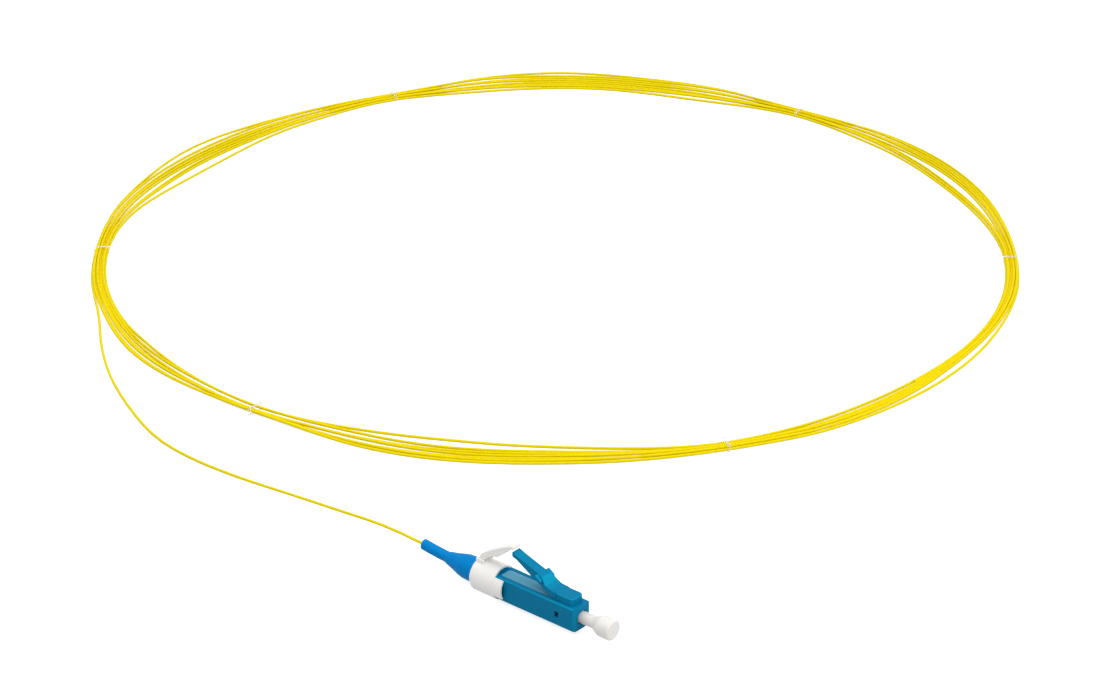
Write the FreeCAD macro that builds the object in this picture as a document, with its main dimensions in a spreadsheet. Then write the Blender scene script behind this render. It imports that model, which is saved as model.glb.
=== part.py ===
import FreeCAD, Part
import math
import os
import Sketcher

# Fibre pigtail: a small square plug with a press latch, a clip with a trigger arm over
# its rear, a strain-relief boot, a dust cap, and one buffered fibre in a loose tied coil.
# Stations along the plug's axis are counted from the rear shoulder of the square housing,
# heights from the axis. Lengths are millimetres, angles degrees.

SIZES = [
    ("housing_side", 4.5),
    ("housing_length", 18.24),
    ("top_edge_round", 0.35),
    ("bottom_edge_round", 0.2),
    ("front_bevel", 0.45),
    ("neck_radius", 2.8),
    ("neck_length", 3.0),
    ("neck_show", 0.05),
    ("shoulder_slope", 0.8),
    ("chamber_radius", 1.8),
    ("front_bore_radius", 1.32),
    ("front_wall", 2.64),
    ("window_setback", 3.69),
    ("window_length", 0.85),
    ("window_height", 1.1),
    ("window_drop", 0.1),
    ("panel_depth", 0.08),
    ("panel_width", 2.6),
    ("panel_rear_margin", 0.35),
    ("panel_front_margin", 1.1),
    ("block_length", 3.65),
    ("block_width", 3.2),
    ("block_height", 1.45),
    ("block_corner", 0.8),
    ("block_top_round", 0.25),
    ("front_ledge", 0.99),
    ("hinge_gap", 0.03),
    ("dimple_radius", 0.2),
    ("dimple_depth", 0.3),
    ("latch_tuck", 0.2),
    ("latch_gap", 0.4),
    ("latch_end_height", 0.88),
    ("latch_end_width", 2.0),
    ("lip_length", 1.4),
    ("lip_drop", 0.57),
    ("chin_length", 1.0),
    ("chin_drop", 0.31),
    ("knee_reach", 3.6),
    ("knee_rise", 2.4),
    ("foot_reach", 2.45),
    ("foot_rise", 1.28),
    ("instep_reach", 1.4),
    ("instep_rise", 0.82),
    ("bend_radius", 0.75),
    ("belly_reach", 6.2),
    ("belly_rise", 1.525),
    ("heel_reach", 1.7),
    ("heel_drop", 0.05),
    ("flare_start_reach", 4.8),
    ("flare_end_reach", 2.6),
    ("ear_reach", 4.65),
    ("ear_length", 1.3),
    ("ear_height", 0.77),
    ("ear_round", 0.25),
    ("ear_rise", 2.645),
    ("ear_slope", 0.6),
    ("ear_span", 3.8),
    ("clip_radius", 3.2),
    ("clip_wall", 0.35),
    ("clip_length", 5.8),
    ("clip_setback", 0.05),
    ("clip_rear_round", 0.75),
    ("clip_rear_opening", 2.42),
    ("wing_length", 2.0),
    ("wing_top", 2.0),
    ("wing_bottom", 1.6),
    ("arm_root_setback", 4.45),
    ("arm_root_rise", 0.3),
    ("arm_root_radius", 0.6),
    ("arm_width", 2.0),
    ("arm_round", 0.15),
    ("cradle_wall", 0.25),
    ("cradle_width", 2.8),
    ("cradle_rise", 0.1),
    ("boot_length", 13.35),
    ("boot_tail_length", 5.7),
    ("boot_tail_radius", 1.03),
    ("boot_front_radius", 2.38),
    ("fibre_radius", 0.3),
    ("fibre_clearance", 0.03),
    ("tube_radius", 0.65),
    ("tube_length", 15.5),
    ("tube_clearance", 0.03),
    ("stop_station", 6.5),
    ("stop_clearance", 0.05),
    ("bead_radius", 1.93),
    ("bead_length", 0.8),
    ("bead_station", 1.4),
    ("collar_radius", 2.3),
    ("collar_length", 0.45),
    ("spigot_radius", 1.45),
    ("spigot_length", 4.4),
    ("ferrule_radius", 0.625),
    ("ferrule_length", 6.5),
    ("ferrule_reach", 2.16),
    ("ferrule_chamfer", 0.2),
    ("flange_flats", 3.0),
    ("flange_length", 1.0),
    ("flange_nose_radius", 1.1),
    ("flange_nose_length", 0.6),
    ("flange_tail_radius", 0.95),
    ("flange_tail_length", 3.3),
    ("flange_bore_radius", 0.4),
    ("glass_radius", 0.0625),
    ("strip_gap", 1.4),
    ("seat_clearance", 0.02),
    ("spring_radius", 1.25),
    ("spring_wire", 0.15),
    ("spring_turns", 6.0),
    ("cap_clearance", 0.02),
    ("cap_seat_gap", 0.2),
    ("cap_stem_radius", 1.15),
    ("cap_stem_length", 4.7),
    ("cap_flare_length", 1.6),
    ("cap_head_radius", 1.95),
    ("cap_head_length", 2.7),
    ("cap_tip_gap", 0.3),
    ("cap_round", 0.5),
    ("cap_flare_round", 0.8),
    ("coil_radius", 100.5),
    ("coil_center_x", -93.8),
    ("coil_center_y", 121.3),
    ("bundle_width", 3.2),
    ("bundle_height", 1.3),
    ("tie_thickness", 0.14),
    ("tie_width", 0.6),
    ("tie_clearance", 0.02),
    ("overrun", 1.0),
]

# Outline of the springy arm, as reach forwards of its root and rise above it, and the size
# that rounds the corner there: along its under side to the tip, then back along its top
ARM_OUTLINE = [
    (0.55, 0.15, None),
    (1.99, 1.4, "bend_radius"),
    (3.06, 1.61, "bend_radius"),
    (4.13, 1.97, "bend_radius"),
    (5.05, 2.8, "bend_radius"),
    (5.95, 3.85, None),
    (6.65, 4.55, None),
    (7.55, 4.62, "arm_round"),
    (7.55, 5.12, "arm_round"),
    (7.25, 5.25, "arm_round"),
    (5.45, 4.43, "bend_radius"),
    (1.95, 2.45, None),
    (0.1, 1.25, None),
    (-0.5, 0.35, None),
]

# Swell of the boot, as distance forwards of its slim tail and gain in radius
BOOT_SWELL = [
    (0.0, 0.0),
    (0.6, 0.22),
    (2.3, 0.61),
    (3.8, 1.04),
    (4.8, 1.24),
]

for prefix, outline in (("arm", ARM_OUTLINE), ("swell", BOOT_SWELL)):
    for number, point in enumerate(outline, start=1):
        SIZES.append(("%s_reach_%d" % (prefix, number), point[0]))
        SIZES.append(("%s_rise_%d" % (prefix, number), point[1]))

# Sizes that follow from the ones above, as formulas of the same sheet
DERIVED = [
    ("half_side", "housing_side / 2"),
    ("step_station", "housing_length - front_wall"),
    ("block_front", "housing_length - front_ledge"),
    ("hinge_x", "block_front - block_length"),
    ("hinge_radius", "block_height / 2"),
    ("hinge_z", "half_side + hinge_radius"),
    ("clip_front", "-clip_setback"),
    ("clip_rear", "clip_front - clip_length"),
    ("clip_bore", "clip_radius - clip_wall"),
    ("wing_front", "clip_front + wing_length"),
    ("arm_x", "-arm_root_setback"),
    ("arm_root_height", "clip_radius + arm_root_rise"),
    ("latch_end", "arm_x + arm_reach_8 - latch_tuck"),
    ("latch_top", "arm_root_height + arm_rise_8 - latch_gap"),
    ("collar_front", "-neck_length - seat_clearance"),
    ("boot_front", "collar_front - collar_length"),
    ("boot_tail", "clip_rear - boot_length"),
    ("stop_radius", "chamber_radius - stop_clearance"),
    ("tube_front", "stop_station - seat_clearance"),
    ("tube_rear", "tube_front - tube_length"),
    ("tube_bore", "fibre_radius + fibre_clearance"),
    ("tube_seat", "tube_radius + tube_clearance"),
    ("flange_front", "step_station - seat_clearance"),
    ("flange_rear", "flange_front - flange_length"),
    ("nose_front", "flange_front + flange_nose_length"),
    ("tail_rear", "flange_rear - flange_tail_length"),
    ("ferrule_tip", "housing_length + ferrule_reach"),
    ("ferrule_rear", "ferrule_tip - ferrule_length"),
    ("inner_fibre_front", "ferrule_rear - strip_gap"),
    ("cap_rear", "nose_front + cap_seat_gap"),
    ("cap_bore", "ferrule_radius + cap_clearance"),
    ("cap_flare", "cap_rear + cap_stem_length"),
    ("cap_head", "cap_flare + cap_flare_length"),
    ("cap_end", "cap_head + cap_head_length"),
    ("mid_station", "(cap_end + boot_tail) / 2"),
    ("axis_height", "clip_radius"),
    ("coil_bottom", "tie_thickness + tie_clearance"),
]

# The lead's route from the boot's tail to the coil, in the part's own frame. The first
# point is the boot's tail itself, so it isn't listed here. Each bend takes this share of
# the shorter of its two runs.
LEAD_POINTS = [
    (-31.1, 0.15, 3.2),
    (-43.6, 0.8, 2.35),
    (-57.1, 0.95, 1.2),
    (-70.1, 0.1, 0.45),
    (-83.1, -0.45, 0.3),
    (-95.1, 0.9, 0.3),
    (-107.6, 5.9, 0.3),
    (-121.1, 12.6, 0.35),
    (-134.1, 21.6, 0.45),
    (-145.1, 31.2, 0.6),
    (-154.6, 40.8, 0.75),
]
ARC_SHARE = 0.45

# Where the ties hold the coil (degrees about its centre), and how far out from the coil's
# radius each tie sits
TIE_ANGLES = [36.5, 93.9, 154.4, 221.4, 273.1, 329.7]
TIE_SHIFTS = [0.3, 0.4, 0.2, 1.0, -0.8, -0.6]

# How wide the turns fan out halfway along the stretch that follows each tie, and how far
# out the middle of the fan lies there. The rim of a stretch is drawn through this many points.
FAN_WIDTHS = [6.6, 10.1, 8.8, 5.1, 7.6, 4.0]
FAN_SHIFTS = [1.3, 3.2, 0.3, 0.9, -2.1, -0.8]
COIL_STEPS = 5

# The two sides of the plug, as the start of a formula for a place across it
SIDES = (("near", "0 -"), ("far", "0 +"))

# Flats round the collar of the ferrule's flange, and round the spring's wire, whose round
# section is drawn with flats so that its mesh stays light
COLLAR_FLATS = 6
WIRE_FLATS = 6

# Two places closer than this are the same
TOUCH = 0.001

PARTS_FOLDER = "parts"

doc = FreeCAD.newDocument("fibre_pigtail")
sheet = doc.addObject("Spreadsheet::Sheet", "Sizes")


def fill_sheet():
    """Write every size into the sheet, one row each: the alias beside its value."""
    rows = [(alias, str(number)) for alias, number in SIZES]
    rows += [(alias, "=" + formula) for alias, formula in DERIVED]
    for row, (alias, content) in enumerate(rows, start=1):
        sheet.set("A%d" % row, alias)
        sheet.set("B%d" % row, content)
        sheet.setAlias("B%d" % row, alias)
    doc.recompute()


def cell(alias):
    """Expression that names one size of the sheet."""
    return "Sizes." + alias


def linked(formula):
    """Formula with each alias in it turned into a reference to the sheet."""
    words = formula.replace("(", " ( ").replace(")", " ) ").split()
    aliases = [alias for alias, _ in SIZES + DERIVED]
    return " ".join(cell(word) if word in aliases else word for word in words)


def size(formula):
    """Value of a formula of the sheet's sizes, as a number."""
    return float(sheet.evalExpression(linked(formula)))


def new_body(label):
    """Body whose own X axis is the plug's axis, set at its place in the part."""
    body = doc.addObject("PartDesign::Body", label)
    body.Label = label
    body.setExpression("Placement.Base.x", linked("0 - mid_station"))
    body.setExpression("Placement.Base.z", linked("axis_height"))
    return body


def origin_item(body, role):
    """Origin plane or axis of a body, by its role."""
    return next(item for item in body.Origin.OriginFeatures if item.Role == role)


def new_sketch(body, name, plane, offset=None):
    """Empty sketch on one of the body's origin planes, moved along its normal."""
    sketch = body.newObject("Sketcher::SketchObject", name)
    sketch.AttachmentSupport = (origin_item(body, plane), "")
    sketch.MapMode = "FlatFace"
    if offset is not None:
        sketch.setExpression("AttachmentOffset.Base.z", linked(offset))
    return sketch


def bind_point(sketch, geometry, place, point):
    """Hold one point of a sketch at a pair of formulas."""
    for kind, formula in zip(("DistanceX", "DistanceY"), point):
        constraint = Sketcher.Constraint(kind, -1, 1, geometry, place, size(formula))
        index = sketch.addConstraint(constraint)
        sketch.setExpression("Constraints[%d]" % index, linked(formula))


def add_outline(sketch, points):
    """Closed outline of straight lines whose corners are pairs of formulas."""
    corners = [FreeCAD.Vector(size(a), size(b), 0) for a, b in points]
    start = sketch.GeometryCount
    for first, second in zip(corners, corners[1:] + corners[:1]):
        sketch.addGeometry(Part.LineSegment(first, second), False)
    count = len(points)
    for index in range(count):
        following = start + (index + 1) % count
        sketch.addConstraint(Sketcher.Constraint("Coincident", start + index, 2, following, 1))
    for index, point in enumerate(points):
        bind_point(sketch, start + index, 1, point)


def add_circle(sketch, center, radius):
    """Circle whose centre is a pair of formulas and whose radius is one."""
    middle = FreeCAD.Vector(size(center[0]), size(center[1]), 0)
    circle = Part.Circle(middle, FreeCAD.Vector(0, 0, 1), size(radius))
    number = sketch.addGeometry(circle, False)
    bind_point(sketch, number, 3, center)
    index = sketch.addConstraint(Sketcher.Constraint("Radius", number, size(radius)))
    sketch.setExpression("Constraints[%d]" % index, linked(radius))


def box_points(low_a, high_a, low_b, high_b):
    """Corners of a rectangle between two pairs of formulas."""
    return [(low_a, low_b), (high_a, low_b), (high_a, high_b), (low_a, high_b)]


def polygon_points(middle, radius, count):
    """Corners of a regular polygon round a pair of formulas."""
    corners = []
    for corner in range(count):
        turn = math.tau * corner / count
        parts = zip(middle, (math.cos(turn), math.sin(turn)))
        corners.append(tuple("%s + %.9f * %s" % (start, share, radius) for start, share in parts))
    return corners


def numbered_points(prefix, count, start):
    """Points of a numbered outline, counted from a pair of formulas."""
    return [(start[0] + " + %s_reach_%d" % (prefix, number),
             start[1] + " + %s_rise_%d" % (prefix, number)) for number in range(1, count + 1)]


def outline_sketch(body, name, plane, points, offset=None):
    """Sketch that holds one closed outline."""
    sketch = new_sketch(body, name, plane, offset)
    add_outline(sketch, points)
    return sketch


def circle_sketch(body, name, plane, center, radius, offset=None):
    """Sketch that holds one circle."""
    sketch = new_sketch(body, name, plane, offset)
    add_circle(sketch, center, radius)
    return sketch


def sketch_feature(body, kind, name, sketch):
    """Feature of a body that is driven by one sketch."""
    feature = body.newObject("PartDesign::" + kind, name)
    feature.Profile = sketch
    sketch.Visibility = False
    return feature


def pad(body, name, sketch, length, both_ways=False):
    """Solid pushed up from a sketch, along its normal or to both sides."""
    feature = sketch_feature(body, "Pad", name, sketch)
    feature.setExpression("Length", linked(length))
    feature.Midplane = both_ways
    return feature


def pocket(body, name, sketch, length, both_ways=False, reverse=False):
    """Cut against a sketch's normal, along it (reverse) or to both sides."""
    feature = sketch_feature(body, "Pocket", name, sketch)
    feature.setExpression("Length", linked(length))
    feature.Midplane = both_ways
    feature.Reversed = reverse
    return feature


def turned(body, name, points, cut=False):
    """Revolution or groove about the plug's axis of an outline of (station, radius)."""
    sketch = outline_sketch(body, name + "_profile", "XZ_Plane", points)
    feature = sketch_feature(body, "Groove" if cut else "Revolution", name, sketch)
    feature.ReferenceAxis = (origin_item(body, "X_Axis"), [""])
    feature.Angle = 360
    return feature


def edge_names(feature, wanted):
    """Names of a feature's edges that pass a test."""
    doc.recompute()
    edges = enumerate(feature.Shape.Edges, start=1)
    return ["Edge%d" % number for number, edge in edges if wanted(edge)]


def dress(body, kind, name, feature, wanted, amount):
    """Fillet or chamfer on the edges of a feature that pass a test."""
    names = edge_names(feature, wanted)
    if not names:
        raise ValueError("no edge for " + name)
    result = body.newObject("PartDesign::" + kind, name)
    result.Base = (feature, names)
    result.setExpression("Radius" if kind == "Fillet" else "Size", linked(amount))
    return result


def runs_along(edge, axis):
    """True for an edge that runs along one axis only (0, 1 or 2)."""
    box = edge.BoundBox
    lengths = [box.XLength, box.YLength, box.ZLength]
    length = lengths.pop(axis)
    return length > TOUCH and max(lengths) < TOUCH


def crosswise_at(points):
    """Test for edges along Y that pass through any of the given (station, height)."""
    places = [(size(a), size(b)) for a, b in points]

    def wanted(edge):
        middle = edge.BoundBox.Center
        near = [math.hypot(middle.x - a, middle.z - b) < TOUCH for a, b in places]
        return runs_along(edge, 1) and any(near)

    return wanted


def ring_at(station, radius):
    """Test for the circular edge of a turned piece at a station and radius."""
    place = (size(station), size(radius))

    def wanted(edge):
        box = edge.BoundBox
        flat = box.XLength < TOUCH and abs(box.XMin - place[0]) < TOUCH
        return flat and abs(box.YLength / 2 - place[1]) < TOUCH

    return wanted


def build_housing():
    """Square plug housing with its round neck, bores, windows and the latch's root block."""
    body = new_body("plug_housing")
    square = outline_sketch(
        body, "section", "YZ_Plane",
        box_points("0 - half_side", "half_side", "0 - half_side", "half_side"))
    block = pad(body, "square_bar", square, "housing_length")
    half = size("half_side")

    def long_edge(side):
        return lambda edge: runs_along(edge, 0) and abs(edge.BoundBox.ZMin - side * half) < TOUCH

    top = dress(body, "Fillet", "top_edges", block, long_edge(1), "top_edge_round")
    dress(body, "Fillet", "bottom_edges", top, long_edge(-1), "bottom_edge_round")
    for name, sign in SIDES:
        bevel = outline_sketch(body, name + "_bevel_plan", "XY_Plane", [
            ("housing_length - front_bevel", sign + " half_side"),
            ("housing_length", sign + " half_side"),
            ("housing_length", sign + " (half_side - front_bevel)")])
        pocket(body, name + "_bevel", bevel, "2 * housing_side", both_ways=True)
    turned(body, "rear_shoulder", [
        ("0", "neck_radius"), ("shoulder_slope", "housing_side"), ("0", "housing_side")], cut=True)
    neck = circle_sketch(body, "neck_section", "YZ_Plane", ("0", "0"), "neck_radius",
                         "0 - neck_length")
    pad(body, "neck", neck, "neck_length + neck_show")
    root = outline_sketch(
        body, "root_plan", "XY_Plane",
        box_points("hinge_x", "block_front", "0 - block_width / 2", "block_width / 2"),
        "half_side - top_edge_round")
    root_pad = pad(body, "root_block", root, "block_height + top_edge_round")

    def root_post(edge):
        box = edge.BoundBox
        return runs_along(edge, 2) and abs(box.XMin - size("block_front")) < TOUCH

    corners = dress(body, "Fillet", "root_corners", root_pad, root_post, "block_corner")
    top_level = size("half_side + block_height")

    def root_rim(edge):
        box = edge.BoundBox
        level = abs(box.ZMin - top_level) < TOUCH and abs(box.ZMax - top_level) < TOUCH
        return level and box.XMax > size("hinge_x") + TOUCH

    dress(body, "Fillet", "root_rim", corners, root_rim, "block_top_round")
    seat = circle_sketch(body, "hinge_seat_circle", "XZ_Plane", ("hinge_x", "hinge_z"),
                         "hinge_radius + hinge_gap")
    pocket(body, "hinge_seat", seat, "block_width + 2 * hinge_gap", both_ways=True)
    panel = outline_sketch(
        body, "panel_plan", "XY_Plane",
        box_points("panel_rear_margin", "hinge_x - panel_front_margin",
                   "0 - panel_width / 2", "panel_width / 2"),
        "half_side")
    pocket(body, "top_panel", panel, "panel_depth")
    turned(body, "bore", [
        ("0 - neck_length - overrun", "0"), ("0 - neck_length - overrun", "chamber_radius"),
        ("step_station", "chamber_radius"), ("step_station", "front_bore_radius"),
        ("housing_length + overrun", "front_bore_radius"),
        ("housing_length + overrun", "0")], cut=True)
    turned(body, "bead_groove", [
        ("bead_station - seat_clearance", "0"),
        ("bead_station - seat_clearance", "bead_radius + seat_clearance"),
        ("bead_station + bead_length + seat_clearance", "bead_radius + seat_clearance"),
        ("bead_station + bead_length + seat_clearance", "0")], cut=True)
    window = outline_sketch(
        body, "window_outline", "XZ_Plane",
        box_points("housing_length - window_setback - window_length",
                   "housing_length - window_setback",
                   "0 - window_drop - window_height / 2", "window_height / 2 - window_drop"))
    pocket(body, "windows", window, "housing_side + overrun", both_ways=True)
    return body


def build_latch():
    """Press latch: a wedge-shaped lever on a round root, with two stop ears."""
    body = new_body("latch_lever")
    end = "latch_end"
    top = "latch_top"
    lip = (end + " + lip_length", top + " - lip_drop")
    knee = ("hinge_x - knee_reach", "hinge_z + knee_rise")
    foot = ("hinge_x - foot_reach", "hinge_z + foot_rise")
    instep = ("hinge_x - instep_reach", "hinge_z + instep_rise")
    heel = ("hinge_x - heel_reach", "hinge_z - heel_drop")
    belly = ("hinge_x - belly_reach", "hinge_z + belly_rise")
    chin = (end + " + chin_length", top + " - latch_end_height - chin_drop")
    side = outline_sketch(body, "side_view", "XZ_Plane", [
        (end, top), lip, knee, foot, instep, ("hinge_x", "hinge_z + hinge_radius"),
        ("hinge_x", "hinge_z - hinge_radius"), heel, belly, chin,
        (end, top + " - latch_end_height")])
    lever = pad(body, "lever", side, "block_width", both_ways=True)
    dress(body, "Fillet", "soft_bends", lever, crosswise_at([knee, foot, instep, belly]),
          "bend_radius")
    root = circle_sketch(body, "root_circle", "XZ_Plane", ("hinge_x", "hinge_z"), "hinge_radius")
    pad(body, "round_root", root, "block_width", both_ways=True)
    for name, sign in SIDES:
        taper = outline_sketch(body, name + "_taper_plan", "XY_Plane", [
            (end + " - overrun", sign + " latch_end_width / 2"),
            ("hinge_x - flare_start_reach", sign + " latch_end_width / 2"),
            ("hinge_x - flare_end_reach", sign + " block_width / 2"),
            ("hinge_x - flare_end_reach", sign + " block_width"),
            (end + " - overrun", sign + " block_width")])
        pocket(body, name + "_taper", taper, "latch_top + overrun", reverse=True)
    ear_top = ("hinge_x - ear_reach", "hinge_z + ear_rise")
    ear_nose = (ear_top[0] + " + ear_length", ear_top[1] + " - ear_slope * ear_length")
    ear_toe = (ear_nose[0], ear_nose[1] + " - ear_height")
    ear_heel = (ear_top[0], ear_top[1] + " - ear_height")
    ear = outline_sketch(body, "ear_view", "XZ_Plane", [ear_top, ear_nose, ear_toe, ear_heel])
    ears = pad(body, "ears", ear, "ear_span", both_ways=True)
    dress(body, "Fillet", "ear_corners", ears, crosswise_at([ear_nose, ear_toe, ear_heel]),
          "ear_round")
    for name, sign in SIDES:
        spot = circle_sketch(body, name + "_dimple_circle", "XZ_Plane",
                             ("hinge_x", "hinge_z"), "dimple_radius",
                             sign + " block_width / 2")
        pocket(body, name + "_dimple", spot, "dimple_depth", reverse=(name == "near"))
    return body


def build_clip():
    """Clip that wraps the plug's rear: a thin round hood with a wing flat on each side."""
    body = new_body("clip_hood")
    shell = turned(body, "shell", [
        ("clip_rear", "clip_rear_opening"), ("clip_rear", "clip_radius"),
        ("wing_front", "clip_radius"), ("wing_front", "clip_bore"),
        ("clip_rear + clip_wall", "clip_bore"), ("clip_rear + clip_wall", "clip_rear_opening")])
    dress(body, "Fillet", "rear_round", shell, ring_at("clip_rear", "clip_radius"),
          "clip_rear_round")
    for name, low, high in (("above", "wing_top", "clip_radius + overrun"),
                            ("below", "0 - clip_radius - overrun", "0 - wing_bottom")):
        gap = outline_sketch(body, name + "_wing_view", "XZ_Plane",
                             box_points("clip_front", "wing_front + overrun", low, high))
        pocket(body, name + "_wing", gap, "2 * clip_radius + overrun", both_ways=True)
    low = "0 - half_side - seat_clearance"
    high = "half_side + seat_clearance"
    square = outline_sketch(body, "wing_seat_section", "YZ_Plane",
                            box_points(low, high, low, high), "clip_front")
    pocket(body, "wing_seat", square, "wing_length", reverse=True)
    root = ("arm_x", "arm_root_height")
    cradle = circle_sketch(body, "cradle_circle", "XZ_Plane", root,
                           "arm_root_radius + hinge_gap + cradle_wall")
    pad(body, "arm_cradle", cradle, "cradle_width", both_ways=True)
    above = outline_sketch(
        body, "cradle_top_view", "XZ_Plane",
        box_points("arm_x - overrun", "arm_x + overrun",
                   "arm_root_height + cradle_rise", "arm_root_height + overrun"))
    pocket(body, "cradle_top", above, "cradle_width + overrun", both_ways=True)
    seat = circle_sketch(body, "arm_seat_circle", "XZ_Plane", root, "arm_root_radius + hinge_gap")
    pocket(body, "arm_seat", seat, "arm_width + 4 * hinge_gap", both_ways=True)
    way = outline_sketch(
        body, "arm_way_view", "XZ_Plane",
        box_points("arm_x", "arm_x + overrun",
                   "clip_radius + hinge_gap", "arm_root_height + overrun"))
    pocket(body, "arm_way", way, "arm_width + 4 * hinge_gap", both_ways=True)
    return body


def build_trigger_arm():
    """Springy arm that rises over the latch, so that a finger presses both."""
    body = new_body("trigger_arm")
    root = ("arm_x", "arm_root_height")
    points = numbered_points("arm", len(ARM_OUTLINE), root)
    side = outline_sketch(body, "side_view", "XZ_Plane", points)
    arm = pad(body, "arm", side, "arm_width", both_ways=True)
    for radius in ("bend_radius", "arm_round"):
        corners = [point for point, corner in zip(points, ARM_OUTLINE) if corner[2] == radius]
        arm = dress(body, "Fillet", "corners_" + radius, arm, crosswise_at(corners), radius)
    circle = circle_sketch(body, "root_circle", "XZ_Plane", root, "arm_root_radius")
    pad(body, "round_root", circle, "arm_width", both_ways=True)
    return body


def build_boot():
    """Strain-relief boot: a slim tail that swells into the clip's rear opening."""
    body = new_body("boot")
    slim_end = ("boot_tail + boot_tail_length", "boot_tail_radius")
    swell = numbered_points("swell", len(BOOT_SWELL), slim_end)
    turned(body, "boot_turned", [("boot_tail", "tube_bore"), ("boot_tail", "boot_tail_radius")]
           + swell + [
        ("clip_rear - clip_wall", "boot_front_radius"),
        ("boot_front", "boot_front_radius"), ("boot_front", "spigot_radius + tube_clearance"),
        ("boot_front - spigot_length - seat_clearance", "spigot_radius + tube_clearance"),
        ("boot_front - spigot_length - seat_clearance", "tube_seat"),
        ("tube_rear - seat_clearance", "tube_seat"), ("tube_rear - seat_clearance", "tube_bore")])
    return body


def build_rear_body():
    """Rear body: spring stop inside the housing, collar, and spigot for the boot."""
    body = new_body("rear_body")
    turned(body, "rear_body_turned", [
        ("stop_station", "tube_seat"), ("stop_station", "stop_radius"),
        ("bead_station + bead_length", "stop_radius"), ("bead_station + bead_length", "bead_radius"),
        ("bead_station + bead_length / 2", "bead_radius"), ("bead_station", "stop_radius"),
        ("collar_front", "stop_radius"), ("collar_front", "collar_radius"),
        ("boot_front + seat_clearance", "collar_radius"),
        ("boot_front + seat_clearance", "spigot_radius"),
        ("boot_front - spigot_length", "spigot_radius"), ("boot_front - spigot_length", "tube_seat")])
    return body


def build_ferrule():
    """Ceramic ferrule with a chamfered tip and its fine bore."""
    body = new_body("ferrule")
    turned(body, "ferrule_turned", [
        ("ferrule_rear", "glass_radius"), ("ferrule_rear", "ferrule_radius"),
        ("ferrule_tip - 2 * ferrule_chamfer", "ferrule_radius"),
        ("ferrule_tip", "ferrule_radius - ferrule_chamfer"), ("ferrule_tip", "glass_radius")])
    return body


def build_flange():
    """Metal flange that holds the ferrule and takes the spring's push."""
    body = new_body("ferrule_flange")
    turned(body, "flange_turned", [
        ("tail_rear", "flange_bore_radius"), ("tail_rear", "flange_tail_radius"),
        ("flange_front - seat_clearance", "flange_tail_radius"),
        ("flange_front - seat_clearance", "flange_nose_radius"),
        ("nose_front", "flange_nose_radius"), ("nose_front", "ferrule_radius"),
        ("ferrule_rear", "ferrule_radius"), ("ferrule_rear", "flange_bore_radius")])
    sketch = new_sketch(body, "hexagon", "YZ_Plane", "flange_rear")
    corner_radius = "%.9f * flange_flats" % (0.5 / math.cos(math.pi / COLLAR_FLATS))
    add_outline(sketch, polygon_points(("0", "0"), corner_radius, COLLAR_FLATS))
    add_circle(sketch, ("0", "0"), "ferrule_radius + seat_clearance")
    pad(body, "hex_collar", sketch, "flange_length")
    return body


def build_dust_cap():
    """Soft dust cap: a stem over the ferrule that flares into a round grip."""
    body = new_body("dust_cap")
    cap = turned(body, "cap_turned", [
        ("cap_rear", "cap_bore"), ("cap_rear", "cap_stem_radius"),
        ("cap_flare", "cap_stem_radius"), ("cap_head", "cap_head_radius"),
        ("cap_end", "cap_head_radius"), ("cap_end", "0"),
        ("ferrule_tip + cap_tip_gap", "0"), ("ferrule_tip + cap_tip_gap", "cap_bore")])
    cap = dress(body, "Fillet", "grip_round", cap, ring_at("cap_end", "cap_head_radius"),
                "cap_round")
    cap = dress(body, "Fillet", "flare_start", cap, ring_at("cap_flare", "cap_stem_radius"),
                "cap_flare_round")
    dress(body, "Fillet", "flare_end", cap, ring_at("cap_head", "cap_head_radius"),
          "cap_flare_round")
    return body


def place_on_axis(item, station):
    """Set a primitive that stands along Z on the plug's axis, from a station forwards."""
    item.Placement = FreeCAD.Placement(
        FreeCAD.Vector(0, 0, 0), FreeCAD.Rotation(FreeCAD.Vector(0, 1, 0), 90))
    item.setExpression("Placement.Base.x", linked(station + " - mid_station"))
    item.setExpression("Placement.Base.z", linked("axis_height"))


def rod(name, start, length, radius):
    """Plain rod along the plug's axis."""
    item = doc.addObject("Part::Cylinder", name)
    item.setExpression("Radius", linked(radius))
    item.setExpression("Height", linked(length))
    place_on_axis(item, start)
    return item


def build_guide_tube():
    """Thin tube that keeps the fibre straight through the boot and rear body."""
    wall = rod("guide_tube_outside", "tube_rear", "tube_length", "tube_radius")
    hole = rod("guide_tube_bore", "tube_rear", "tube_length", "tube_bore")
    tube = doc.addObject("Part::Cut", "guide_tube")
    tube.Base = wall
    tube.Tool = hole
    tube.Label = "guide_tube"
    return tube


def build_glass_fibre():
    """Bare glass fibre, bonded in the ferrule."""
    item = rod("glass_fibre", "ferrule_rear", "ferrule_length", "glass_radius")
    item.Label = "glass_fibre"
    return item


def build_inner_fibre():
    """Buffered fibre from the boot's tail to the flange's tube."""
    item = rod("inner_fibre", "boot_tail", "inner_fibre_front - boot_tail", "fibre_radius")
    item.Label = "inner_fibre"
    return item


def build_spring():
    """Coil spring between the rear body and the flange."""
    body = new_body("spring")
    play = "(spring_wire + seat_clearance)"
    section = outline_sketch(body, "wire_section", "XZ_Plane", polygon_points(
        ("stop_station + " + play, "spring_radius"), "spring_wire", WIRE_FLATS))
    coils = sketch_feature(body, "AdditiveHelix", "coils", section)
    coils.ReferenceAxis = (origin_item(body, "X_Axis"), [""])
    coils.Mode = "height-turns-angle"
    coils.setExpression("Height", linked("flange_rear - stop_station - 2 * " + play))
    coils.setExpression("Turns", linked("spring_turns"))
    return body


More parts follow.
